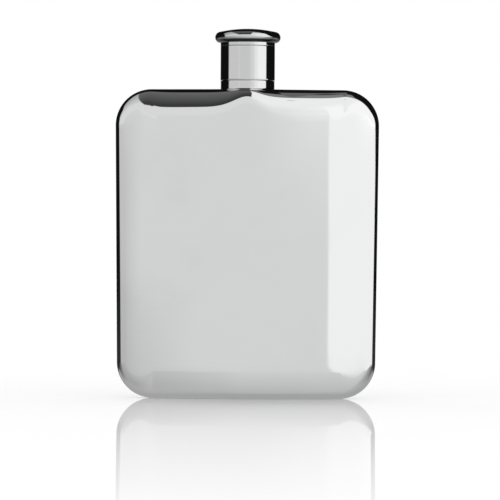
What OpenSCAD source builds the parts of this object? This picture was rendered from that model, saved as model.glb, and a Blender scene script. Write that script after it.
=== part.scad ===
// Slim pocket hip flask in polished stainless steel, standing on its flat base.
// Two drawn half shells meet on the plane y = 0. A welded collar and a threaded
// neck tube carry a screw cap with a beaded, domed head.
// Millimetres, +Z up, origin at the middle of the base.

/* [Body] */
// Widest width of the body, just under the top corners
body_w = 95; // [76:1:118]
// How much narrower the body is near the base
base_taper = 1.8; // [0:0.2:6]
// Height of the body from the base to the flat round the neck
body_h = 111.3; // [88:0.1:138]
// Depth of the body at its middle, front to back
body_d = 26; // [24:0.5:34]
// Radius of the top corners, seen from the front
top_corner_r = 13; // [12:0.5:16]
// Radius of the bottom corners, seen from the front
base_corner_r = 13; // [12:0.5:16]
// Half depth of the body where its faces meet the roll into the narrow sides
side_depth = 4.6; // [3.6:0.1:5.6]
// Width over which the faces roll into those sides
side_reach = 7; // [4:0.5:9]
// Half width of the weld land along the seam between the shells
seam_land = 0.3; // [0.2:0.05:0.5]
// Sheet thickness of the shells
shell_wall = 0.7; // [0.5:0.05:1]

/* [Shoulder and foot] */
// Height over which the faces roll into the top, away from the neck
shoulder_rise = 9.6; // [7:0.1:10.5]
// Depth of that roll
shoulder_depth = 9; // [7:0.5:10]
// Height of the roll right in front of and behind the neck
neck_rise = 5.4; // [3:0.1:6]
// Width of the flat land left round the collar, in front of and behind the neck
neck_land = 0.27; // [0.1:0.01:0.5]
// How far along the top the sharper shoulder of the neck spreads
neck_spread = 7.5; // [6:0.5:12]
// Height over which the faces roll into the flat base
foot_rise = 10; // [6:0.5:11]
// Depth of that roll
foot_depth = 7; // [5:0.5:9]
// Softness of the change from flat to fully rounded edges
edge_blend = 1.2; // [0.8:0.1:2]

/* [Neck] */
// Outside radius of the neck tube at the root of its thread
neck_r = 8; // [7:0.1:9.6]
// Wall of the neck tube
neck_wall = 0.8; // [0.6:0.05:1.2]
// Height of the collar above the body
collar_h = 3.1; // [2:0.1:5]
// How far the collar sits back from the sleeve of the closed cap
collar_step = 0.1; // [0.05:0.01:0.3]
// Radius of the weld fillet at the foot of the collar
collar_fillet = 0.5; // [0.3:0.1:0.8]
// Height of the threaded part above the collar
thread_h = 9.2; // [8:0.1:12]
// How far the neck tube reaches down into the body
tube_reach = 3; // [2:0.5:6]
// Rise of the cap for one turn
thread_lead = 2.5; // [2:0.1:3]
// Height of the thread's ridge
thread_depth = 0.45; // [0.3:0.05:0.6]
// Turns of the thread
thread_turns = 2.25; // [1.5:0.25:2.5]
// Height of the thread's ridge along the neck, at its root and at its crest
ridge_root_h = 1.5; // [1.2:0.1:1.8]
ridge_crest_h = 0.6; // [0.4:0.1:0.8]

/* [Cap] */
// Wall of the nylon bush inside the cap
bush_wall = 0.68; // [0.5:0.01:1]
// Sheet thickness of the sleeve and the head
cap_wall = 0.6; // [0.4:0.05:0.7]
// How far the sleeve rises above the foot of the plate that closes it
plate_seat = 1.22; // [0.8:0.01:2]
// How far that plate stands up inside the head
plate_lap = 0.6; // [0.4:0.1:0.8]
// Radius of the bead round the head
bead_r = 2; // [1.6:0.05:2.4]
// How far the bead stands out beyond the sleeve
bead_reach = 2.02; // [1.6:0.01:2.4]
// Height of the plain land under the bead
head_land = 1.2; // [0.9:0.05:1.6]
// Rise of the domed crown above the top of the bead
crown_rise = 1.15; // [0.6:0.05:1.6]
// Thickness of the soft sealing liner
liner_t = 1.6; // [1:0.1:2]
// Thickness of the slip washer above the liner
washer_t = 0.5; // [0.3:0.1:0.6]
// Width of the chamfers that leave a fine groove at each joint of the cap
joint_chamfer = 0.14; // [0.08:0.01:0.2]

/* [Clearances] */
// Radial running clearance between the crest of the thread and the cap's bush
thread_clear = 0.1; // [0.05:0.01:0.1]
// Gap between the top of the collar and the bottom of the closed cap
cap_gap = 0.12; // [0.08:0.01:0.3]
// Radial room round the liner and the washer inside the sleeve
liner_room = 0.45; // [0.3:0.05:0.6]

/* [Hidden] */

$fn = 96;
steel = [0.80, 0.81, 0.83];
nylon = [0.93, 0.93, 0.90];
silicone = [0.86, 0.87, 0.86];
overlap = 0.5;
bush_setback = 0.4;

// Radii of the neck and the cap, from the neck outwards
crest_r = neck_r + thread_depth;
bush_bore_r = crest_r + thread_clear;
cap_bore_r = bush_bore_r + bush_wall;
cap_r = cap_bore_r + cap_wall;
collar_r = cap_r - collar_step;
head_r = cap_r + bead_reach;
liner_r = cap_bore_r - liner_room;
washer_bore_r = neck_r / 2;

// Heights up the neck and the cap
collar_top = body_h + collar_h;
neck_top = collar_top + thread_h;
cap_bottom = collar_top + cap_gap;
bush_bottom = cap_bottom + cap_wall;
bush_top = neck_top - bush_setback;
liner_top = neck_top + liner_t;
washer_top = liner_top + washer_t;
sleeve_top = washer_top + plate_seat;
sleeve_h = sleeve_top - cap_bottom;
plate_top = sleeve_top + plate_lap;

// Bead and crown of the head
bead_x = head_r - bead_r;
bead_z = sleeve_top + head_land + sqrt(bead_r ^ 2 - (cap_r - bead_x) ^ 2);
crown_centre = bead_z - (bead_x ^ 2 - crown_rise ^ 2) / (2 * crown_rise);
crown_r = bead_z + bead_r + crown_rise - crown_centre;
crown_edge = atan(bead_x / (bead_z - crown_centre));

// The thread's ridge: its rise, the height it starts at, and its lead-in at both ends
ridge_margin = (ridge_root_h + neck_wall) / 2;
ridge_rise = min(thread_turns * thread_lead, thread_h - 2 * ridge_margin);
ridge_start = neck_top - ridge_margin - ridge_rise;
ridge_turn = 360 * ridge_rise / thread_lead;
ridge_fade = 60;
ridge_root_sink = 0.3;
ridge_steps = round(ridge_turn / 15);

// Shape of the body. The faces are parts of a cylinder with a vertical axis.
half_w = body_w / 2;
half_d = body_d / 2;
neck_depth = half_d - collar_r - neck_land;
side_x = half_w - side_depth;
face_r = (side_x ^ 2 + half_d ^ 2 - side_depth ^ 2) / (2 * (half_d - side_depth));
top_centre = [half_w - top_corner_r, body_h - top_corner_r];
base_centre = [half_w - base_taper / 2 - base_corner_r, base_corner_r];
side_run = top_centre - base_centre;
side_tilt = atan2(side_run[0], side_run[1]) - asin((base_corner_r - top_corner_r) / norm(side_run));
hub = [0, body_h / 2];

// Mesh of the shells
edge_steps = 12;
corner_steps = 10;
side_steps = 4;
round_steps = 8;
face_steps = 5;
solve_steps = 10;

// Half depth of a face cylinder, moved inwards by the wall t
function face_y(x, t) = sqrt((face_r - t) ^ 2 - x ^ 2) - (face_r - half_d);

// Angle at which the face falls away along the outline's normal
function face_fall(x, nx) = atan(abs(nx * x) / sqrt(face_r ^ 2 - x ^ 2));

// How near a point of the top is to the neck, from 0 to 1
function near_neck(x) = exp(-(x / neck_spread) ^ 2);

// The edge between face and outline is part of an ellipse. This is its reach inwards from
// a point of the outline, in the x-z plane
function reach(p, n) =
    let (top = shoulder_rise - (shoulder_rise - neck_rise) * near_neck(p[0]))
    side_reach + ((n[1] > 0 ? top : foot_rise) - side_reach) * n[1] ^ 2;

// Largest depth allowed for that ellipse: small right in front of and behind the neck, so
// that the collar stands on a flat
function depth_limit(p) =
    let (top = shoulder_depth - (shoulder_depth - neck_depth) * near_neck(p[0]),
         f = p[1] / body_h)
    foot_depth + (top - foot_depth) * f ^ 2 * (3 - 2 * f);

// Half width of the flat band that follows the outline: the seam's land, or what the
// limited depth leaves, whichever is wider, blended smoothly
function band(p) = let (spare = face_y(p[0], 0) - depth_limit(p))
    (seam_land + spare + sqrt((spare - seam_land) ^ 2 + edge_blend ^ 2)) / 2;

// Depth of the ellipse, and the angle on it where it meets the face smoothly, closed in on
// step by step
function edge_fit(p, n, k = solve_steps, depth = side_depth, last = 90) =
    k == 0 ? [depth, last] :
    let (e = reach(p, n), x = p[0] - n[0] * e * (1 - cos(last)),
         a = atan2(depth, e * tan(face_fall(x, n[0]))))
    edge_fit(p, n, k - 1, (face_y(x, 0) - band(p)) / sin(a), a);

// Right half of the outline in the x-z plane, as pairs of a point and its normal,
// from the middle of the top round to the middle of the base
function arc_point(centre, r, a) = [centre + r * [cos(a), sin(a)], [cos(a), sin(a)]];
right_side = concat(
    [for (i = [0:edge_steps - 1]) [[top_centre[0] * i / edge_steps, body_h], [0, 1]]],
    [for (i = [0:corner_steps])
        arc_point(top_centre, top_corner_r, 90 - (90 + side_tilt) * i / corner_steps)],
    [for (i = [1:side_steps - 1])
        let (f = i / side_steps, n = [cos(side_tilt), -sin(side_tilt)],
             r = top_corner_r + (base_corner_r - top_corner_r) * f)
        [top_centre - side_run * f + r * n, n]],
    [for (i = [0:corner_steps])
        arc_point(base_centre, base_corner_r, -side_tilt - (90 - side_tilt) * i / corner_steps)],
    [for (i = [1:edge_steps]) [[base_centre[0] * (1 - i / edge_steps), 0], [0, -1]]]
);
side_count = len(right_side);
outline = concat(right_side, [for (i = [side_count - 2:-1:1])
    let (s = right_side[i]) [[-s[0][0], s[0][1]], [-s[1][0], s[1][1]]]]);
count = len(outline);

// Points of one skin of a shell, t inwards from the outside: a flat band from the
// seam, the edge, and rings that shrink over the face to the hub
function skin_ring(k, t) = [for (s = outline)
    let (p = s[0], n = s[1], e = reach(p, n), fit = edge_fit(p, n), depth = fit[0],
         a = k <= 1 ? 0 : fit[1] * (min(k, round_steps + 1) - 1) / round_steps,
         m = norm([cos(a) / e, sin(a) / depth]),
         flat = p - n * (e * (1 - cos(a)) + t * cos(a) / (e * m)),
         f = k <= round_steps + 1 ? 1 : 1 - (k - round_steps - 1) / face_steps,
         q = hub + f * (flat - hub))
    [q[0], k == 0 ? 0 : k > round_steps + 1 ? face_y(q[0], t) :
        band(p) + depth * sin(a) - t * sin(a) / (depth * m), q[1]]];

ring_count = round_steps + face_steps + 1;

// Triangles between two rings that start at the point numbers a and b
function strip(a, b) = [for (i = [0:count - 1]) let (j = (i + 1) % count)
    each [[a + i, b + i, b + j], [a + i, b + j, a + j]]];
function fan(a, centre) = [for (i = [0:count - 1]) [a + i, centre, a + (i + 1) % count]];
function flipped(faces) = [for (f = faces) [f[0], f[2], f[1]]];

module half_shell() {
    skin_size = ring_count * count + 1;
    points = concat(
        [for (k = [0:ring_count - 1]) each skin_ring(k, 0)], [[hub[0], face_y(0, 0), hub[1]]],
        [for (k = [0:ring_count - 1]) each skin_ring(k, shell_wall)],
        [[hub[0], face_y(0, shell_wall), hub[1]]]
    );
    outside = concat(
        [for (k = [0:ring_count - 2]) each strip(k * count, (k + 1) * count)],
        fan((ring_count - 1) * count, skin_size - 1)
    );
    inside = [for (f = flipped(outside)) [f[0] + skin_size, f[1] + skin_size, f[2] + skin_size]];
    difference() {
        polyhedron(points, concat(outside, inside, strip(skin_size, 0)));
        translate([0, 0, body_h - shell_wall - overlap])
            cylinder(r = neck_r, h = shell_wall + 2 * overlap);
    }
}

module back_shell() {
    color(steel) half_shell();
}

module front_shell() {
    color(steel) mirror([0, 1, 0]) half_shell();
}

// Ring welded on the flat round the neck, with a fillet at its foot
module neck_collar() {
    color(steel) translate([0, 0, body_h]) rotate_extrude() difference() {
        translate([neck_r, 0]) square([collar_r + collar_fillet - neck_r, collar_h]);
        translate([collar_r + collar_fillet, collar_fillet]) circle(r = collar_fillet);
        translate([collar_r, collar_fillet]) square([collar_fillet + overlap, collar_h]);
        translate([collar_r, collar_h]) rotate(45) square(joint_chamfer * sqrt(2), center = true);
    }
}

// One section of the thread's ridge at angle a, its height scaled by fade
function ridge_section(a, fade) =
    let (z = ridge_start + thread_lead * a / 360, root = neck_r - ridge_root_sink,
         crest = neck_r + thread_depth * fade)
    [for (q = [[root, -ridge_root_h], [crest, -ridge_crest_h], [crest, ridge_crest_h],
               [root, ridge_root_h]])
        [q[0] * cos(a), q[0] * sin(a), z + q[1] / 2]];

module thread_ridge() {
    points = [for (i = [0:ridge_steps]) let (a = ridge_turn * i / ridge_steps)
        each ridge_section(a, max(0.1, min(1, a / ridge_fade, (ridge_turn - a) / ridge_fade)))];
    walls = [for (i = [0:ridge_steps - 1], k = [0:3])
        let (a = 4 * i + k, b = 4 * i + (k + 1) % 4)
        each [[a, b + 4, a + 4], [a, b, b + 4]]];
    last = 4 * ridge_steps;
    polyhedron(points, concat(walls, [[0, 2, 1], [0, 3, 2]],
        [[last, last + 1, last + 2], [last, last + 2, last + 3]]));
}

// Tube through the top of the body, with the thread outside and rounded lips
module neck_tube() {
    color(steel) {
        rotate_extrude() {
            translate([neck_r - neck_wall, body_h - tube_reach + neck_wall / 2])
                square([neck_wall, neck_top - body_h + tube_reach - neck_wall]);
            for (z = [body_h - tube_reach + neck_wall / 2, neck_top - neck_wall / 2])
                translate([neck_r - neck_wall / 2, z]) circle(d = neck_wall);
        }
        thread_ridge();
    }
}

// Plain sleeve of the cap, open at both ends
module cap_sleeve() {
    color(steel) translate([0, 0, cap_bottom]) rotate_extrude() difference() {
        translate([cap_bore_r, 0]) square([cap_wall, sleeve_h]);
        for (z = [0, sleeve_h])
            translate([cap_r, z]) rotate(45) square(joint_chamfer * sqrt(2), center = true);
    }
}

// Outline of the head, moved inwards by t: land, bead and a dome tangent to the bead
module head_outline(t) {
    intersection() {
        translate([0, crown_centre]) circle(r = crown_r - t);
        translate([0, bead_z]) square([bead_x + (bead_r - t) * sin(crown_edge), bead_r + crown_rise]);
    }
    translate([bead_x, bead_z]) circle(r = bead_r - t);
    land_bottom = sleeve_top - (t > 0 ? overlap : 0);
    translate([0, land_bottom]) square([cap_r - t, bead_z + bead_r / 2 - land_bottom]);
}

// Hollow spun head with its bead and low dome
module cap_head() {
    color(steel) rotate_extrude() difference() {
        head_outline(0);
        head_outline(cap_wall);
        translate([cap_r, sleeve_top]) rotate(45) square(joint_chamfer * sqrt(2), center = true);
    }
}

// Turned disc that joins the sleeve to the head and closes the cap
module cap_plate() {
    color(steel) translate([0, 0, washer_top]) cylinder(r = cap_bore_r, h = plate_top - washer_top);
}

// Nylon bush that carries the cap's thread, bonded in the sleeve
module thread_bush() {
    color(nylon) translate([0, 0, bush_bottom]) difference() {
        cylinder(r = cap_bore_r, h = bush_top - bush_bottom);
        translate([0, 0, -overlap]) cylinder(r = bush_bore_r, h = bush_top - bush_bottom + 2 * overlap);
    }
}

// Thin steel washer that lets the cap turn on the liner
module slip_washer() {
    color(steel) translate([0, 0, liner_top]) difference() {
        cylinder(r = liner_r, h = washer_t);
        translate([0, 0, -overlap]) cylinder(r = washer_bore_r, h = washer_t + 2 * overlap);
    }
}

// Silicone disc pressed on the lip of the neck
module cap_liner() {
    color(silicone) translate([0, 0, neck_top]) cylinder(r = liner_r, h = liner_t);
}

front_shell();
back_shell();
neck_collar();
neck_tube();
cap_sleeve();
cap_head();
cap_plate();
thread_bush();
slip_washer();
cap_liner();
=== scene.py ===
"""Polished steel hip flask on a glossy white floor.

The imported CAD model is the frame. Each visible piece repeats its node's formulas at a finer pitch, in
millimetres, and is scaled to metres when its mesh is made.
"""

import math

import bpy
import numpy as np
from mathutils import Matrix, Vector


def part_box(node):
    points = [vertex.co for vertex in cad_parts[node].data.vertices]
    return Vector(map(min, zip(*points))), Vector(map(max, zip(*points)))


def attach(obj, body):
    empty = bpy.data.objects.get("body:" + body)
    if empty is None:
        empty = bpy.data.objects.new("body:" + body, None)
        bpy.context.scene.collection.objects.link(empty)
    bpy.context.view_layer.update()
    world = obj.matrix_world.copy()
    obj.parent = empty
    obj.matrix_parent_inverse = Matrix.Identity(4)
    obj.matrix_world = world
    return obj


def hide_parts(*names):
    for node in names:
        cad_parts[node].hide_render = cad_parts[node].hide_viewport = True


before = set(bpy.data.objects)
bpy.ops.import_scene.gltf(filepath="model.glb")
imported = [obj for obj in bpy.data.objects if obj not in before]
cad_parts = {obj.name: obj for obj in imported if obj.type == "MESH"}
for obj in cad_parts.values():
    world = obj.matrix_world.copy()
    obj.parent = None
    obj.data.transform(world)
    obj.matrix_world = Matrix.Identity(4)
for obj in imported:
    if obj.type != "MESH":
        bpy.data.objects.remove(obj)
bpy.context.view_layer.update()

MM = 0.001
TINY = 1e-6

# ---------------------------------------------------------------- sizes from the CAD frame, in mm


def node_box(node):
    """Lowest and highest corner of a CAD node, in millimetres."""
    low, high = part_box(node)
    return [v / MM for v in low], [v / MM for v in high]


_, shell_high = node_box("back_shell")
collar_low, collar_high = node_box("neck_collar")
tube_low, tube_high = node_box("neck_tube")
sleeve_low, sleeve_high = node_box("cap_sleeve")
_, head_high = node_box("cap_head")
plate_low, plate_high = node_box("cap_plate")
bush_low, bush_high = node_box("thread_bush")
washer_low, washer_high = node_box("slip_washer")
liner_low, liner_high = node_box("cap_liner")

HALF_W = shell_high[0]
HALF_D = shell_high[1]
BODY_H = shell_high[2]
CAP_R = sleeve_high[0]
HEAD_R = head_high[0]
BUSH_R = bush_high[0]
LINER_R = liner_high[0]

# ---------------------------------------------------------------- the design's own values, in mm

BASE_TAPER = 1.8
CORNER_R = 13.0
SIDE_DEPTH = 4.6
SIDE_REACH = 7.0
SEAM_LAND = 0.3
SHELL_WALL = 0.7
SHOULDER_RISE = 9.6
SHOULDER_DEPTH = 9.0
NECK_RISE = 5.4
NECK_LAND = 0.27
NECK_SPREAD = 7.5
FOOT_RISE = 10.0
FOOT_DEPTH = 7.0
EDGE_BLEND = 1.2

NECK_R = 8.0
NECK_WALL = 0.8
THREAD_LEAD = 2.5
THREAD_DEPTH = 0.45
THREAD_TURNS = 2.25
THREAD_MARGIN = 1.15
THREAD_PLAY = 0.1
BUSH_ROOT_GAP = 0.15
COLLAR_STEP = 0.1
COLLAR_FILLET = 0.4

CAP_WALL = 0.6
BEAD_R = 2.0
HEAD_LAND = 1.2
CROWN_RISE = 1.15

# Fine detail of the visual model: the seam's groove, the weld, and how far edges are softened
SEAM_GROOVE = 0.03
EDGE_SOFT = 0.14
WELD_SINK = 0.04
SHEET_EDGE = 0.12
WASHER_EDGE = 0.08
LINER_EDGE = 0.35
LINER_FOOT_INSET = 0.6

# The thread's ridge: half width of its crest and width of its flank, in leads; how fast it fades in
# over a turn; and the factor on distances in the bush, under 1 so that its groove is a little wider
RIDGE_CREST = 0.11
RIDGE_FLANK = 0.17
THREAD_FADE = 6
GROOVE_SCALE = 0.92

# Steps that curves and long straight stretches are divided into
HOLE_STEPS = 28
TOP_STEPS = 30
CORNER_STEPS = 28
SIDE_STEPS = 36
BASE_STEPS = 32
BAND_STEPS = 7
ROUND_STEPS = 26
FACE_STEPS = 20
FIT_ROUNDS = 12
LATHE_SIDES = 256
EDGE_STEPS = 6
FILLET_STEPS = 14
FOOT_STEPS = 6
COLLAR_STEPS = 8
LIP_STEPS = 10
TUBE_STEPS = 110
BORE_STEPS = 90
SLEEVE_STEPS = 30
LAND_STEPS = 6
BEAD_STEPS = 44
DOME_STEPS = 24
DOME_END = 89.95

COLLAR_R = CAP_R - COLLAR_STEP
NECK_DEPTH = HALF_D - COLLAR_R - NECK_LAND
SIDE_X = HALF_W - SIDE_DEPTH
FACE_R = (SIDE_X ** 2 + HALF_D ** 2 - SIDE_DEPTH ** 2) / (2 * (HALF_D - SIDE_DEPTH))


# ---------------------------------------------------------------- surface of the body

def face_y(x, inset=0.0):
    """Half depth of the face cylinder, moved inwards by inset."""
    return np.sqrt((FACE_R - inset) ** 2 - x ** 2) - (FACE_R - HALF_D)


def near_neck(x):
    """How near a point of the top is to the neck, from 0 to 1."""
    return np.exp(-(x / NECK_SPREAD) ** 2)


def reach(x, nz):
    """Reach inwards from the outline of the ellipse between the outline and the face."""
    top = SHOULDER_RISE - (SHOULDER_RISE - NECK_RISE) * near_neck(x)
    return SIDE_REACH + (np.where(nz > 0, top, FOOT_RISE) - SIDE_REACH) * nz ** 2


def band(x, z):
    """Half width of the flat band that follows the outline at a point of the outline."""
    top = SHOULDER_DEPTH - (SHOULDER_DEPTH - NECK_DEPTH) * near_neck(x)
    up = z / BODY_H
    limit = FOOT_DEPTH + (top - FOOT_DEPTH) * up ** 2 * (3 - 2 * up)
    spare = face_y(x) - limit
    return (SEAM_LAND + spare + np.sqrt((spare - SEAM_LAND) ** 2 + EDGE_BLEND ** 2)) / 2


def edge_fit(x, z, nx, nz):
    """Depth of that ellipse, and the angle on it where it meets the face smoothly."""
    across = reach(x, nz)
    depth, last = SIDE_DEPTH, math.pi / 2
    for _ in range(FIT_ROUNDS):
        inner_x = x - nx * across * (1 - np.cos(last))
        fall = np.abs(nx * inner_x) / np.sqrt(FACE_R ** 2 - inner_x ** 2)
        last = np.arctan2(depth, across * fall)
        depth = (face_y(inner_x) - band(x, z)) / np.sin(last)
    return depth, last


def top_height(x, y):
    """Height of the top of the body near the neck, at a place seen from above."""
    edge = band(x, BODY_H)
    beyond = np.clip((np.abs(y) - edge) / (face_y(x) - edge), 0, 1)
    return BODY_H - reach(x, 1.0) * (1 - np.sqrt(1 - beyond ** 2))


def outline():
    """Points and normals round the whole body in the x-z plane, clockwise from the top middle."""
    top = np.array([HALF_W - CORNER_R, BODY_H - CORNER_R])
    base = np.array([HALF_W - BASE_TAPER / 2 - CORNER_R, CORNER_R])
    run = top - base
    tilt = math.atan2(run[0], run[1])
    points, normals = [], []

    def add(place, normal):
        points.append(place)
        normals.append(normal)

    def arc(centre, start, end):
        for i in range(CORNER_STEPS + 1):
            a = start + (end - start) * i / CORNER_STEPS
            n = np.array([math.cos(a), math.sin(a)])
            add(centre + CORNER_R * n, n)

    up = np.array([0.0, 1.0])
    for i in range(HOLE_STEPS):
        add(np.array([NECK_R * math.sin(math.pi / 2 * i / HOLE_STEPS), BODY_H]), up)
    for i in range(TOP_STEPS):
        add(np.array([NECK_R + (top[0] - NECK_R) * i / TOP_STEPS, BODY_H]), up)
    arc(top, math.pi / 2, -tilt)
    side = np.array([math.cos(tilt), -math.sin(tilt)])
    for i in range(1, SIDE_STEPS):
        add(top - run * i / SIDE_STEPS + CORNER_R * side, side)
    arc(base, -tilt, -math.pi / 2)
    for i in range(1, BASE_STEPS + 1):
        add(np.array([base[0] * (1 - i / BASE_STEPS), 0.0]), -up)

    left = [(p * [-1, 1], n * [-1, 1]) for p, n in zip(points[-2:0:-1], normals[-2:0:-1])]
    points += [p for p, _ in left]
    normals += [n for _, n in left]
    return np.array(points), np.array(normals)


def shell_skin(points, normals, inset):
    """Rings of one skin of the back shell, from the seam to the hub of the face."""
    x, z = points.T
    nx, nz = normals.T
    across = reach(x, nz)
    depth, last = edge_fit(x, z, nx, nz)
    edge = band(x, z)
    in_hole = (z > BODY_H - TINY) & (np.abs(x) < NECK_R)
    start = np.where(in_hole, np.sqrt(np.clip(NECK_R ** 2 - x ** 2, 0, None)), 0.0)
    groove = 0.0 if inset else SEAM_GROOVE

    def on_band(y, sink):
        return np.stack([x - nx * (inset + sink), y, z - nz * (inset + sink)], 1)

    rings = [on_band(start, groove), on_band(start + SEAM_GROOVE, 0)]
    rings += [on_band(start + (edge - start) * i / BAND_STEPS, 0) for i in range(1, BAND_STEPS + 1)]
    for i in range(1, ROUND_STEPS + 1):
        a = last * i / ROUND_STEPS
        slope = np.hypot(np.cos(a) / across, np.sin(a) / depth)
        draw_in = across * (1 - np.cos(a)) + inset * np.cos(a) / (across * slope)
        y = edge + depth * np.sin(a) - inset * np.sin(a) / (depth * slope)
        rings.append(np.stack([x - nx * draw_in, y, z - nz * draw_in], 1))
    rim = rings[-1]
    hub_z = BODY_H / 2
    for i in range(1, FACE_STEPS):
        f = 1 - i / FACE_STEPS
        ring_x = rim[:, 0] * f
        ring_z = hub_z + (rim[:, 2] - hub_z) * f
        rings.append(np.stack([ring_x, face_y(ring_x, inset), ring_z], 1))
    hub = np.array([[0.0, face_y(0.0, inset), hub_z]])
    return np.array(rings), hub


# ---------------------------------------------------------------- mesh makers

def ring_quads(rings, count, closed=False):
    """Quads between successive rings of count points; closed joins the last ring to the first."""
    i = np.arange(count)
    j = (i + 1) % count
    quads = []
    for k in range(rings if closed else rings - 1):
        a = k * count
        b = ((k + 1) % rings) * count
        quads.append(np.stack([a + i, b + i, b + j, a + j], 1))
    return [q.tolist() for q in np.concatenate(quads)]


def make_piece(name, points, faces, body, node, material, sharp=30):
    """A smooth-shaded mesh piece, in metres, that rides on body and stands for node."""
    mesh = bpy.data.meshes.new(name)
    mesh.from_pydata((np.asarray(points) * MM).tolist(), [], faces)
    mesh.validate()
    mesh.shade_smooth()
    mesh.set_sharp_from_angle(angle=math.radians(sharp))
    mesh.materials.append(material)
    piece = bpy.data.objects.new(name, mesh)
    bpy.context.scene.collection.objects.link(piece)
    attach(piece, body)
    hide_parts(node)
    return piece


def shell_piece(name, node, side, material):
    """Closed half shell: outer skin, inner skin and the rim between them. side is 1 for the back."""
    points, normals = outline()
    count = len(points)
    outer, outer_hub = shell_skin(points, normals, 0.0)
    inner, inner_hub = shell_skin(points, normals, SHELL_WALL)
    rings = len(outer)
    skin = rings * count + 1
    verts = np.concatenate([outer.reshape(-1, 3), outer_hub, inner.reshape(-1, 3), inner_hub])
    verts[:, 1] *= side

    faces = ring_quads(rings, count)
    last = (rings - 1) * count
    faces += [[last + i, skin - 1, last + (i + 1) % count] for i in range(count)]
    inside = [[v + skin for v in f[::-1]] for f in faces]
    rim = [[i, (i + 1) % count, skin + (i + 1) % count, skin + i] for i in range(count)]
    faces = faces + inside + rim
    if side < 0:
        faces = [f[::-1] for f in faces]
    return make_piece(name, verts, faces, "flask", node, material)


def lathe_piece(name, profile, body, node, material, shape=None, sides=LATHE_SIDES, sharp=30):
    """Closed ring turned about the neck's axis from a closed profile of (radius, height), given
    counter-clockwise. shape(r, angle, z) may move the radii and heights of each point."""
    r, z = np.array(profile, float).T
    angle = np.arange(sides) * 2 * math.pi / sides
    r, z = r[:, None] + 0 * angle, z[:, None] + 0 * angle
    if shape:
        r, z = shape(r, angle[None, :], z)
    points = np.stack([r * np.cos(angle), r * np.sin(angle), z], 2).reshape(-1, 3)
    quads = ring_quads(len(profile), sides, closed=True)
    return make_piece(name, points, [q[::-1] for q in quads], body, node, material, sharp)


def disc_piece(name, profile, body, node, material, sides=LATHE_SIDES, sharp=30):
    """Solid turned about the neck's axis from an open profile that runs from the bottom of the axis
    to its top; the two ends on the axis are given by their heights alone in profile[0] and [-1]."""
    bottom, *rings, top = profile
    angle = np.arange(sides) * 2 * math.pi / sides
    points = [[r * math.cos(a), r * math.sin(a), z] for r, z in rings for a in angle]
    faces = [q[::-1] for q in ring_quads(len(rings), sides)]
    low, high = len(points), len(points) + 1
    points += [[0, 0, bottom], [0, 0, top]]
    last = (len(rings) - 1) * sides
    for i in range(sides):
        j = (i + 1) % sides
        faces += [[low, j, i], [high, last + i, last + j]]
    return make_piece(name, points, faces, body, node, material, sharp)


def arc_points(centre, radius, start, end, steps):
    """Points of an arc, angles in degrees, both ends included."""
    angles = np.radians(np.linspace(start, end, steps + 1))
    return [(centre[0] + radius * math.cos(a), centre[1] + radius * math.sin(a)) for a in angles]


def line_points(start, end, steps):
    """Points along a straight stretch, without its two ends."""
    fractions = [i / steps for i in range(1, steps)]
    return [tuple(a + (b - a) * f for a, b in zip(start, end)) for f in fractions]


# ---------------------------------------------------------------- node trees

class Nodes:
    """Adds nodes to a tree. Each method returns the output that it makes."""

    def __init__(self, tree):
        self.tree = tree
        tree.nodes.clear()

    def add(self, kind, **inputs):
        node = self.tree.nodes.new(kind)
        for name, value in inputs.items():
            self.put(node.inputs[name.replace("_", " ")], value)
        return node

    def put(self, socket, value):
        if isinstance(value, bpy.types.NodeSocket):
            self.tree.links.new(value, socket)
        elif value is not None:
            socket.default_value = value

    def math(self, operation, a, b=None, c=None):
        node = self.tree.nodes.new("ShaderNodeMath")
        node.operation = operation
        for socket, value in zip(node.inputs, (a, b, c)):
            self.put(socket, value)
        return node.outputs[0]

    def ease(self, value, start, end, low=0.0, high=1.0, smooth=True):
        """low below start, high above end, with a smooth or a straight change between them."""
        node = self.tree.nodes.new("ShaderNodeMapRange")
        node.interpolation_type = "SMOOTHSTEP" if smooth else "LINEAR"
        for socket, v in zip(node.inputs, (value, start, end, low, high)):
            self.put(socket, v)
        return node.outputs[0]

    def blend(self, factor, a, b):
        """Number a where factor is 0, b where it is 1."""
        node = self.tree.nodes.new("ShaderNodeMix")
        for socket, v in zip(node.inputs, (factor, None, a, b)):
            self.put(socket, v)
        return node.outputs[0]

    def tint(self, factor, a, b):
        """Colour a where factor is 0, b where it is 1."""
        node = self.tree.nodes.new("ShaderNodeMix")
        node.data_type = "RGBA"
        self.put(node.inputs[0], factor)
        for socket, colour in ((node.inputs[6], a), (node.inputs[7], b)):
            self.put(socket, (*colour, 1.0) if isinstance(colour, (list, tuple)) else colour)
        return node.outputs[2]

    def both(self, a, b):
        return self.math("MULTIPLY", a, b)

    def noise(self, vector, scale, detail=3.0, rough=0.5):
        node = self.add("ShaderNodeTexNoise", Vector=vector, Scale=scale, Detail=detail)
        node.inputs["Roughness"].default_value = rough
        return node.outputs[0]

    def stretched(self, vector, scale):
        """Coordinates scaled per axis."""
        node = self.add("ShaderNodeMapping", Vector=vector)
        node.inputs["Scale"].default_value = scale
        return node.outputs[0]

    def bump(self, height, distance):
        node = self.add("ShaderNodeBump", Height=height, Distance=distance)
        node.inputs["Strength"].default_value = 1.0
        return node.outputs[0]


def new_material(name):
    material = bpy.data.materials.new(name)
    material.use_nodes = True
    nodes = Nodes(material.node_tree)
    shader = nodes.add("ShaderNodeBsdfPrincipled")
    out = nodes.add("ShaderNodeOutputMaterial")
    nodes.put(out.inputs["Surface"], shader.outputs[0])
    place = nodes.add("ShaderNodeTexCoord").outputs["Object"]
    return material, nodes, shader, place


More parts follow.
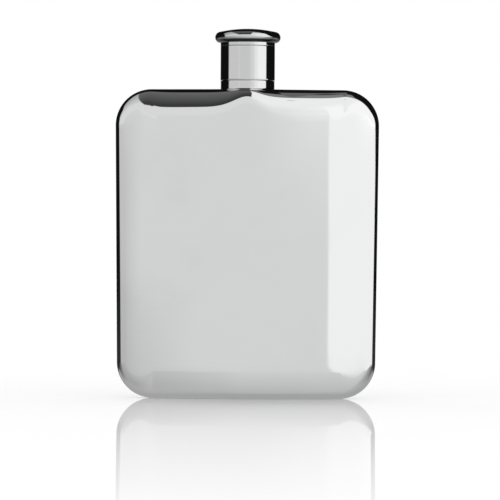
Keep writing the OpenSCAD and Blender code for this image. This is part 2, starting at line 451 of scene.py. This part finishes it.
def polished_steel(name, shade, painted_under_shade=1.0):
    """Mirror-polished steel with faint smears, polishing lines and a hint of waviness. Faces that
    look down may be darkened towards black: painted shade, not a film on the steel."""
    material, nodes, shader, place = new_material(name)
    smear = nodes.noise(place, scale=38.0, detail=4.0, rough=0.6)
    haze = nodes.ease(smear, 0.45, 0.75)
    brushed = nodes.stretched(place, (90.0, 90.0, 2600.0))
    lines = nodes.noise(brushed, scale=1.0, detail=2.0)
    light = [shade * v for v in (1.0, 1.003, 1.01)]
    dark = [shade * v for v in (0.975, 0.98, 0.99)]
    steel = nodes.tint(haze, light, dark)
    # Painted shade: faces that look down are darkened towards black, as if in shade under the bead
    if painted_under_shade < 1.0:
        normal = nodes.add("ShaderNodeNewGeometry").outputs["Normal"]
        up = nodes.add("ShaderNodeSeparateXYZ", Vector=normal).outputs["Z"]
        unpainted_share = nodes.ease(up, -0.55, -0.18, low=painted_under_shade)
        steel = nodes.tint(unpainted_share, (0.0, 0.0, 0.0), steel)
    nodes.put(shader.inputs["Base Color"], steel)
    shader.inputs["Metallic"].default_value = 1.0
    polish = nodes.ease(haze, 0.0, 1.0, low=0.035, high=0.075, smooth=False)
    nodes.put(shader.inputs["Roughness"], nodes.math("MULTIPLY_ADD", lines, 0.02, polish))
    wave = nodes.bump(nodes.noise(place, scale=22.0, detail=1.0), distance=0.00012)
    fine = nodes.add("ShaderNodeBump", Height=lines, Distance=0.0000012, Normal=wave)
    nodes.put(shader.inputs["Normal"], fine.outputs[0])
    return material


def satin_steel(name):
    """Turned steel: fine rings round the neck's axis, in duller and brighter patches."""
    material, nodes, shader, place = new_material(name)
    axis = nodes.add("ShaderNodeSeparateXYZ", Vector=place)
    x, y, z = axis.outputs
    radius = nodes.math("SQRT", nodes.math("ADD", nodes.both(x, x), nodes.both(y, y)))
    across = nodes.add("ShaderNodeCombineXYZ", X=radius, Y=0.0, Z=z).outputs[0]
    rings = nodes.noise(across, scale=5200.0, detail=2.0)
    patches = nodes.noise(place, scale=260.0, detail=3.0)
    dull = (0.66, 0.665, 0.67)
    bright = (0.75, 0.755, 0.76)
    nodes.put(shader.inputs["Base Color"], nodes.tint(patches, dull, bright))
    shader.inputs["Metallic"].default_value = 1.0
    nodes.put(shader.inputs["Roughness"], nodes.ease(rings, 0.3, 0.7, low=0.2, high=0.34))
    nodes.put(shader.inputs["Normal"], nodes.bump(rings, distance=0.000006))
    return material


def moulded_nylon(name):
    """Off-white moulded nylon with a faint cloudiness and a fine grain."""
    material, nodes, shader, place = new_material(name)
    cloud = nodes.noise(place, scale=300.0, detail=3.0)
    grain = nodes.noise(place, scale=4200.0, detail=2.0)
    dull = (0.78, 0.77, 0.72)
    bright = (0.86, 0.85, 0.81)
    nodes.put(shader.inputs["Base Color"], nodes.tint(cloud, dull, bright))
    nodes.put(shader.inputs["Roughness"], nodes.ease(grain, 0.3, 0.7, low=0.38, high=0.5))
    nodes.put(shader.inputs["Normal"], nodes.bump(grain, distance=0.000008))
    return material


def soft_silicone(name):
    """Milky silicone with a dull, slightly dusty skin."""
    material, nodes, shader, place = new_material(name)
    dust = nodes.noise(place, scale=900.0, detail=4.0, rough=0.65)
    dull = (0.72, 0.73, 0.72)
    bright = (0.82, 0.83, 0.82)
    nodes.put(shader.inputs["Base Color"], nodes.tint(dust, dull, bright))
    nodes.put(shader.inputs["Roughness"], nodes.ease(dust, 0.3, 0.7, low=0.5, high=0.68))
    shader.inputs["Subsurface Weight"].default_value = 0.15
    shader.inputs["Subsurface Radius"].default_value = (0.002, 0.002, 0.002)
    nodes.put(shader.inputs["Normal"], nodes.bump(dust, distance=0.00001))
    return material


BODY_SHADE = 0.86
# The steel of the cap, head and collar is the body's steel painted darker: painted shade for the darker
# reflections on them
CAP_SHADE_PAINTED_DARKER = 0.74
# How dark the painted shade is on the faces of the head that look down, under its bead
UNDERSIDE_PAINTED_SHADE = 0.04

body_steel = polished_steel("body_steel", BODY_SHADE)
cap_steel = polished_steel("cap_steel", CAP_SHADE_PAINTED_DARKER)
# The head's steel carries painted shade on its faces that look down
head_steel = polished_steel("head_steel", CAP_SHADE_PAINTED_DARKER, UNDERSIDE_PAINTED_SHADE)
turned_steel = satin_steel("turned_steel")
nylon = moulded_nylon("nylon")
silicone = soft_silicone("silicone")

# ---------------------------------------------------------------- pieces

shell_piece("body_front", "front_shell", -1, body_steel)
shell_piece("body_back", "back_shell", 1, body_steel)


def collar_shape(r, angle, z):
    """Lets the foot of the collar follow the top of the body, sunk a little for the weld."""
    foot = top_height(r * np.cos(angle), r * np.sin(angle)) - WELD_SINK
    low = collar_low[2] + COLLAR_FILLET
    share = np.clip((low - z) / COLLAR_FILLET, 0, 1)
    return r, z + (foot - collar_low[2]) * share


collar_top = collar_high[2]
foot_z = collar_low[2]
collar_profile = [
    (NECK_R, foot_z), *line_points((NECK_R, foot_z), (COLLAR_R + COLLAR_FILLET, foot_z), FOOT_STEPS),
    *arc_points((COLLAR_R + COLLAR_FILLET, foot_z + COLLAR_FILLET), COLLAR_FILLET, 270, 180,
                FILLET_STEPS),
    *line_points((COLLAR_R, foot_z + COLLAR_FILLET), (COLLAR_R, collar_top - EDGE_SOFT), COLLAR_STEPS),
    *arc_points((COLLAR_R - EDGE_SOFT, collar_top - EDGE_SOFT), EDGE_SOFT, 0, 90, EDGE_STEPS),
    (NECK_R, collar_top),
]
lathe_piece("collar", collar_profile, "flask", "neck_collar", cap_steel, collar_shape)


def helix_height(angle, z):
    """Signed distance along the axis from a point to the nearest turn of the thread, in leads, and how
    many turns along the thread that place is."""
    start = tube_high[2] - THREAD_MARGIN - THREAD_TURNS * THREAD_LEAD
    turns = (z - start) / THREAD_LEAD - angle / (2 * math.pi)
    nearest = np.round(turns)
    return turns - nearest, nearest + angle / (2 * math.pi)


def ridge(offset):
    """Height of the thread's rounded ridge, 0 to 1, by the distance from its middle in leads."""
    t = np.clip((np.abs(offset) - RIDGE_CREST) / RIDGE_FLANK, 0, 1)
    return 1 - t ** 2 * (3 - 2 * t)


def neck_shape(r, angle, z):
    """Raises the thread on the outside of the neck, faded in and out at its two ends."""
    offset, turn = helix_height(angle, z)
    fade = np.clip(np.minimum(turn, THREAD_TURNS - turn) * THREAD_FADE + 0.5, 0, 1)
    outside = r > NECK_R - TINY
    return r + outside * THREAD_DEPTH * ridge(offset) * fade, z


lip = NECK_WALL / 2
tube_mid = NECK_R - lip
neck_profile = [
    *arc_points((tube_mid, tube_low[2] + lip), lip, 180, 360, LIP_STEPS),
    *line_points((NECK_R, tube_low[2] + lip), (NECK_R, tube_high[2] - lip), TUBE_STEPS),
    *arc_points((tube_mid, tube_high[2] - lip), lip, 0, 180, LIP_STEPS),
]
lathe_piece("neck", neck_profile, "flask", "neck_tube", turned_steel, neck_shape, sharp=50)

sleeve_bottom, sleeve_top = sleeve_low[2], sleeve_high[2]
bore_r = CAP_R - CAP_WALL
sleeve_profile = [
    (bore_r, sleeve_bottom + EDGE_SOFT / 2), (bore_r + EDGE_SOFT / 2, sleeve_bottom),
    *arc_points((CAP_R - EDGE_SOFT, sleeve_bottom + EDGE_SOFT), EDGE_SOFT, 270, 360, EDGE_STEPS),
    *line_points((CAP_R, sleeve_bottom + EDGE_SOFT), (CAP_R, sleeve_top - EDGE_SOFT), SLEEVE_STEPS),
    *arc_points((CAP_R - EDGE_SOFT, sleeve_top - EDGE_SOFT), EDGE_SOFT, 0, 90, EDGE_STEPS),
    (bore_r, sleeve_top),
]
lathe_piece("cap_tube", sleeve_profile, "cap", "cap_sleeve", cap_steel)

# The head: land, bead and dome, spun from sheet
bead_x = HEAD_R - BEAD_R
bead_z = sleeve_top + HEAD_LAND + math.sqrt(BEAD_R ** 2 - (CAP_R - bead_x) ** 2)
crown_centre = bead_z - (bead_x ** 2 - CROWN_RISE ** 2) / (2 * CROWN_RISE)
crown_r = bead_z + BEAD_R + CROWN_RISE - crown_centre
crown_edge = math.degrees(math.atan(bead_x / (bead_z - crown_centre)))


def head_skin(inset):
    """Profile of the head from its foot to just short of the axis, moved inwards by inset."""
    r = BEAD_R - inset
    start = -math.degrees(math.acos((CAP_R - inset - bead_x) / r))
    edge = [(CAP_R - inset, sleeve_top)]
    if not inset:
        edge = arc_points((CAP_R - EDGE_SOFT, sleeve_top + EDGE_SOFT), EDGE_SOFT, 270, 360, EDGE_STEPS)
    bead = arc_points((bead_x, bead_z), r, start, 90 - crown_edge, BEAD_STEPS)
    dome = arc_points((0, crown_centre), crown_r - inset, 90 - crown_edge, DOME_END, DOME_STEPS)
    return [*edge, *line_points(edge[-1], bead[0], LAND_STEPS), *bead, *dome[1:]]


head_profile = [*head_skin(0.0), *head_skin(CAP_WALL)[::-1]]
lathe_piece("cap_top", head_profile, "cap", "cap_head", head_steel)

disc_piece("cap_disc", [
    plate_low[2],
    (bore_r - SHEET_EDGE, plate_low[2]), (bore_r, plate_low[2] + SHEET_EDGE),
    (bore_r, plate_high[2] - SHEET_EDGE), (bore_r - SHEET_EDGE, plate_high[2]),
    plate_high[2],
], "cap", "cap_plate", turned_steel)


def bush_shape(r, angle, z):
    """Cuts the thread's grooves into the bore of the bush."""
    offset, _ = helix_height(angle, z)
    inside = r < BUSH_R - TINY
    return r + inside * (THREAD_DEPTH + THREAD_PLAY - BUSH_ROOT_GAP) * ridge(offset * GROOVE_SCALE), z


bush_bore = NECK_R + BUSH_ROOT_GAP
bush_profile = [
    (bush_bore, bush_low[2]), (BUSH_R, bush_low[2]), (BUSH_R, bush_high[2]), (bush_bore, bush_high[2]),
    *line_points((bush_bore, bush_high[2]), (bush_bore, bush_low[2]), BORE_STEPS),
]
lathe_piece("cap_bush", bush_profile, "cap", "thread_bush", nylon, bush_shape, sharp=50)

washer_bore = NECK_R / 2
washer_r = washer_high[0]
washer_profile = [
    (washer_bore + WASHER_EDGE, washer_low[2]), (washer_r - WASHER_EDGE, washer_low[2]),
    (washer_r, washer_low[2] + WASHER_EDGE),
    (washer_r, washer_high[2] - WASHER_EDGE), (washer_r - WASHER_EDGE, washer_high[2]),
    (washer_bore + WASHER_EDGE, washer_high[2]), (washer_bore, washer_high[2] - WASHER_EDGE),
    (washer_bore, washer_low[2] + WASHER_EDGE),
]
lathe_piece("cap_washer", washer_profile, "cap", "slip_washer", turned_steel)

liner_z0, liner_z1 = liner_low[2], liner_high[2]
disc_piece("liner_disc", [
    liner_z0, (NECK_R - NECK_WALL - LINER_FOOT_INSET, liner_z0),
    *arc_points((LINER_R - LINER_EDGE, liner_z0 + LINER_EDGE), LINER_EDGE, 270, 360, EDGE_STEPS),
    *arc_points((LINER_R - LINER_EDGE, liner_z1 - LINER_EDGE), LINER_EDGE, 0, 90, EDGE_STEPS),
    liner_z1,
], "liner", "cap_liner", silicone, sharp=40)

# ---------------------------------------------------------------- studio

# Most tuples are fades: where the fade starts and ends, then its value before and after, which are 0
# and 1 when left out. Those with ACROSS or UP in the name and three numbers are windows: start, end and
# softness. STEPS are fades that add up: start, end and change.
# Directions are seen from the flask: azimuth in degrees from the camera's side towards the viewer's
# right, height in degrees above level. A brightness of 1 is white.
# FLOOR_GLOW is the even brightness that lights matt surfaces.

FLOOR_SIZE = 12.0
FLOOR_GLOW = 1.12
FLOOR_SHADES = (0.93, 0.93, 0.93), (0.96, 0.96, 0.96)
MIRROR_TINT = 0.87
MIRROR_BY_DISTANCE = (0.0, 0.76, 0.63, 0.0)
MIRROR_BY_SLANT = (0.3, 0.9)
BLACK = 0.006

WALL = (2.8, 4.5, 0.745, 0.785)
WALL_LOSS_LEFT = (-48, -38, 0.18, 0.0)
WALL_LOSS_TOP = (1.4, 2.2, 1.0, 0.0)
WALL_LOSS_FOOT = (-1.6, -0.4, 0.5, 1.0)
WALL_FOOT_LOSS_LEFT = (-50, -15, 0.2, 0.0)
WALL_FOOT_LOSS_TOP = (-1.6, -0.2, 1.0, 0.0)
WALL_LIFT_RIGHT = (0, 28)
WALL_LIFT_UP = (0.0, 3.0, 0.0, 0.16)
WALL_FOOT = (-5, -1)
STRIPE = 0.07
STRIPE_ACROSS = (-38, -34, 2.0)
STRIPE_UP = (2.3, 3.3, 0.3)

GROUND = (-90, -2, 0.50, 0.71)
GROUND_LEFT = (-60, 0, 1.0, 0.0)
GROUND_LEFT_LOSS = (-75, -30, 0.12, 0.34)
GROUND_RIGHT = (50, 75)
GROUND_RIGHT_LOSS = (-60, -12, 0.12, 0.42)

SOFTBOX = (1.6, 3.3, 1.0, 1.06)
SOFTBOX_LEFT = (29.2, 30.2)
SOFTBOX_CORNER = (-4.4, -1.2, 3.4, 0.0)
SOFTBOX_FOOT = -8.4
SOFTBOX_FOOT_STEPS = ((32.4, 34.4, 6.0), (43, 58, -5.0), (60, 80, 1.5))
SOFTBOX_FOOT_SOFT = 0.3
HOT_SPOT = 0.12
HOT_SPOT_RIGHT = (38, 48)
HOT_SPOT_UP = (2.0, 3.6, 0.8)

FLAG_LEFT = (-90, -85, 1.0, 0.0)
FLAG_RIGHT = 95
FLAG_RIGHT_STEPS = ((0.2, 1.5, -10), (8, 14, -7))
FLAG_RIGHT_SOFT = 2
FLAG_FOOT = (-1.8, -0.9)
FLAG_TO_FLOOR = (-5, -3)
FLOOR_ASIDE = (66, 106)
FLOOR_BESIDE = (-39, -3, 0.45, 0.03)
FLOOR_BEHIND = (-16, -8, 0.42, 0.03)
FLOOR_TURN = (100, 125)
WALL_BEHIND = 0.70
WALL_BEHIND_ASIDE = (160, 168)
WALL_BEHIND_UP = (-6.0, 20.0, 4.0)

# The canopy is laid out on a ceiling one unit up: ahead is towards the camera, aside is towards the
# viewer's right
CANOPY_FOOT = (8.0, 12.0)
DARK_HALF = (-0.49, 1.0, 0.155, 0.045)
DARK_FRONT = 1.43
CORNER = (-0.5, 0.9, 0.45, 0.72)
CORNER_FRONT = 0.9
CORNER_SLANT = 0.27
CORNER_END = (-0.60, -0.56)
FRONT_SOFT = 0.02
LEFT_BACK = (-2.4, -1.4, -0.05, -0.50)
LEFT_BACK_SOFT = 0.06
RIGHT_BACK = (0.30, 0.55, -0.20, 0.07)
RIGHT_BACK_SLANT = (0.5, 2.5, 0.0, 0.42)
RIGHT_BACK_SOFT = 0.05
GREY_BAND = 0.22
GREY_BAND_END = (0.13, 0.19)
BRIGHT_HALF = (0.5, 1.0, 0.96, 1.06)
BRIGHT_FRONT = (0.8, 2.4, 1.0, 0.0)
HALVES_MEET = (0.30, 0.44, 0.17, 0.24)
HALVES_SOFT = 0.015


def glossy_floor():
    """White floor whose gloss fades with the distance from the flask and towards a steep view."""
    material = bpy.data.materials.new("white_floor")
    material.use_nodes = True
    nodes = Nodes(material.node_tree)
    place = nodes.add("ShaderNodeNewGeometry").outputs["Position"]
    distance = nodes.add("ShaderNodeVectorMath", Vector=place)
    distance.operation = "LENGTH"
    far = distance.outputs["Value"]
    share = nodes.ease(far, *MIRROR_BY_DISTANCE, smooth=False)
    graze = nodes.add("ShaderNodeLayerWeight", Blend=0.5).outputs["Facing"]
    share = nodes.both(share, nodes.ease(graze, *MIRROR_BY_SLANT))
    cloud = nodes.noise(place, scale=9.0, detail=2.0)
    white = nodes.tint(cloud, *FLOOR_SHADES)
    matt = nodes.add("ShaderNodeBsdfDiffuse", Color=white)
    gloss = nodes.add("ShaderNodeBsdfAnisotropic", Color=(MIRROR_TINT,) * 3 + (1.0,), Roughness=0.0)
    mix = nodes.add("ShaderNodeMixShader", Fac=share)
    nodes.put(mix.inputs[1], matt.outputs[0])
    nodes.put(mix.inputs[2], gloss.outputs[0])
    out = nodes.add("ShaderNodeOutputMaterial")
    nodes.put(out.inputs["Surface"], mix.outputs[0])
    return material


def make_floor():
    half = FLOOR_SIZE / 2
    mesh = bpy.data.meshes.new("floor")
    corners = [(-half, -half, 0), (half, -half, 0), (half, half, 0), (-half, half, 0)]
    mesh.from_pydata(corners, [], [(0, 1, 2, 3)])
    mesh.materials.append(glossy_floor())
    floor = bpy.data.objects.new("floor", mesh)
    bpy.context.scene.collection.objects.link(floor)
    floor.visible_glossy = False


def window(n, value, start, end, soft):
    """1 between start and end, 0 outside, with soft sides."""
    return n.both(n.ease(value, start - soft, start), n.ease(value, end, end + soft, 1.0, 0.0))


def past(n, value, edge, soft):
    """1 where value is past edge, 0 before it, with a soft change."""
    return n.ease(n.math("SUBTRACT", value, edge), -soft, soft)


def stepped(n, value, total, steps):
    """total, changed by each (start, end, change) of steps that value has passed."""
    for start, end, change in steps:
        total = n.math("ADD", total, n.ease(value, start, end, 0.0, change))
    return total


def wall_light(n, azimuth, height):
    """The wall in front of the flask: duller at its far left, lifted at its right."""
    loss = n.both(n.ease(azimuth, *WALL_LOSS_LEFT), n.ease(height, *WALL_LOSS_TOP))
    loss = n.both(loss, n.ease(height, *WALL_LOSS_FOOT))
    foot_loss = n.both(n.ease(azimuth, *WALL_FOOT_LOSS_LEFT), n.ease(height, *WALL_FOOT_LOSS_TOP))
    kept = n.math("SUBTRACT", 1.0, n.math("ADD", loss, foot_loss))
    wall = n.both(n.ease(height, *WALL), kept)
    lift = n.both(n.ease(azimuth, *WALL_LIFT_RIGHT), n.ease(height, *WALL_LIFT_UP))
    stripe = n.both(window(n, azimuth, *STRIPE_ACROSS), window(n, height, *STRIPE_UP))
    return n.math("ADD", wall, n.math("MULTIPLY_ADD", stripe, STRIPE, lift))


def ground_light(n, azimuth, height):
    """The ground in front of the flask, duller at both sides."""
    left = n.both(n.ease(azimuth, *GROUND_LEFT, smooth=False), n.ease(height, *GROUND_LEFT_LOSS))
    right = n.both(n.ease(azimuth, *GROUND_RIGHT), n.ease(height, *GROUND_RIGHT_LOSS))
    kept = n.math("SUBTRACT", 1.0, n.math("ADD", left, right))
    return n.both(n.ease(height, *GROUND, smooth=False), kept)


def studio_front(n, azimuth, height):
    """Wall and ground in front of the flask, and the softbox at the right end of the wall."""
    front = n.blend(n.ease(height, *WALL_FOOT), ground_light(n, azimuth, height),
                    wall_light(n, azimuth, height))
    drawn_in = n.math("SUBTRACT", azimuth, n.ease(height, *SOFTBOX_CORNER))
    foot = stepped(n, azimuth, SOFTBOX_FOOT, SOFTBOX_FOOT_STEPS)
    softbox = n.both(n.ease(drawn_in, *SOFTBOX_LEFT), past(n, height, foot, SOFTBOX_FOOT_SOFT))
    hot_spot = n.both(n.ease(azimuth, *HOT_SPOT_RIGHT), window(n, height, *HOT_SPOT_UP))
    glow = n.math("MULTIPLY_ADD", hot_spot, HOT_SPOT, n.ease(height, *SOFTBOX))
    return n.blend(softbox, front, glow)


def studio_flags(n, azimuth, height, scene):
    """Black flags beyond both sides, the floor below them, and a narrow wall behind."""
    aside = n.math("ABSOLUTE", azimuth)
    floor = n.blend(n.ease(aside, *FLOOR_TURN), n.ease(height, *FLOOR_BESIDE),
                    n.ease(height, *FLOOR_BEHIND))
    flag = n.blend(n.ease(height, *FLAG_FOOT), floor, BLACK)
    right = past(n, azimuth, stepped(n, height, FLAG_RIGHT, FLAG_RIGHT_STEPS), FLAG_RIGHT_SOFT)
    beside = n.math("MAXIMUM", n.ease(azimuth, *FLAG_LEFT), right)
    beside = n.blend(n.ease(height, *FLAG_TO_FLOOR), n.ease(aside, *FLOOR_ASIDE), beside)
    scene = n.blend(beside, scene, flag)
    behind = n.both(n.ease(aside, *WALL_BEHIND_ASIDE), window(n, height, *WALL_BEHIND_UP))
    return n.blend(behind, scene, WALL_BEHIND)


def studio_canopy(n, ahead, aside, scene):
    """Canopy overhead: dark over the left half with a light corner, bright over the right half with
    a grey band along its back, and black behind both."""
    panel = n.ease(n.math("MULTIPLY_ADD", ahead, CORNER_SLANT, aside), *CORNER_END)
    left = n.blend(panel, n.ease(ahead, *CORNER), n.ease(ahead, *DARK_HALF, smooth=False))
    left = n.blend(past(n, ahead, n.ease(aside, *LEFT_BACK), LEFT_BACK_SOFT), BLACK, left)

    slant = n.ease(aside, *RIGHT_BACK_SLANT, smooth=False)
    right_back = n.math("ADD", n.ease(aside, *RIGHT_BACK), slant)
    right = n.blend(n.ease(ahead, *GREY_BAND_END), GREY_BAND, n.ease(aside, *BRIGHT_HALF))
    right = n.blend(past(n, ahead, right_back, RIGHT_BACK_SOFT), BLACK, right)

    split = past(n, aside, n.ease(ahead, *HALVES_MEET), HALVES_SOFT)
    left_over = past(n, n.blend(panel, CORNER_FRONT, DARK_FRONT), ahead, FRONT_SOFT)
    over = n.blend(split, left_over, n.ease(ahead, *BRIGHT_FRONT))
    return n.blend(over, scene, n.blend(split, left, right))


def make_world():
    """Studio drawn by direction, so that the polished steel has something to mirror."""
    world = bpy.data.worlds.new("studio")
    bpy.context.scene.world = world
    world.use_nodes = True
    n = Nodes(world.node_tree)
    direction = n.add("ShaderNodeTexCoord").outputs["Generated"]
    x, y, z = n.add("ShaderNodeSeparateXYZ", Vector=direction).outputs
    toward = n.math("MULTIPLY", y, -1.0)
    azimuth = n.math("DEGREES", n.math("ARCTAN2", x, toward))
    height = n.math("DEGREES", n.math("ARCSINE", z))
    rise = n.math("MAXIMUM", z, 1e-4)

    scene = studio_front(n, azimuth, height)
    scene = studio_flags(n, azimuth, height, scene)
    canopy = studio_canopy(n, n.math("DIVIDE", toward, rise), n.math("DIVIDE", x, rise), scene)
    scene = n.blend(n.ease(height, *CANOPY_FOOT), scene, canopy)

    path = n.add("ShaderNodeLightPath")
    scene = n.blend(path.outputs["Is Diffuse Ray"], scene, FLOOR_GLOW)
    scene = n.blend(path.outputs["Is Camera Ray"], scene, 1.0)
    scene = n.blend(path.outputs["Is Singular Ray"], scene, 1.0 / MIRROR_TINT)
    background = n.add("ShaderNodeBackground", Color=scene, Strength=1.0)
    out = n.add("ShaderNodeOutputWorld")
    n.put(out.inputs["Surface"], background.outputs[0])


CAMERA_DISTANCE = 1.5
CAMERA_SIDE = 0.0012
CAMERA_HEIGHT = 0.0535
CAMERA_ROLL = 0.327
CLIP_NEAR = 0.05
CLIP_FAR = 30.0
FRAME_WIDTH = 0.18035
SENSOR = 36.0


def make_camera():
    """Level camera far in front of the flask, with a slight roll."""
    data = bpy.data.cameras.new("camera")
    data.sensor_width = SENSOR
    data.lens = SENSOR * CAMERA_DISTANCE / FRAME_WIDTH
    data.clip_start = CLIP_NEAR
    data.clip_end = CLIP_FAR
    camera = bpy.data.objects.new("camera", data)
    bpy.context.scene.collection.objects.link(camera)
    turn = Matrix.Rotation(math.radians(90), 4, "X") @ Matrix.Rotation(math.radians(CAMERA_ROLL), 4, "Z")
    camera.matrix_world = Matrix.Translation((CAMERA_SIDE, -CAMERA_DISTANCE, CAMERA_HEIGHT)) @ turn
    bpy.context.scene.camera = camera


make_floor()
make_world()
make_camera()
bpy.context.scene.view_settings.view_transform = "Standard"
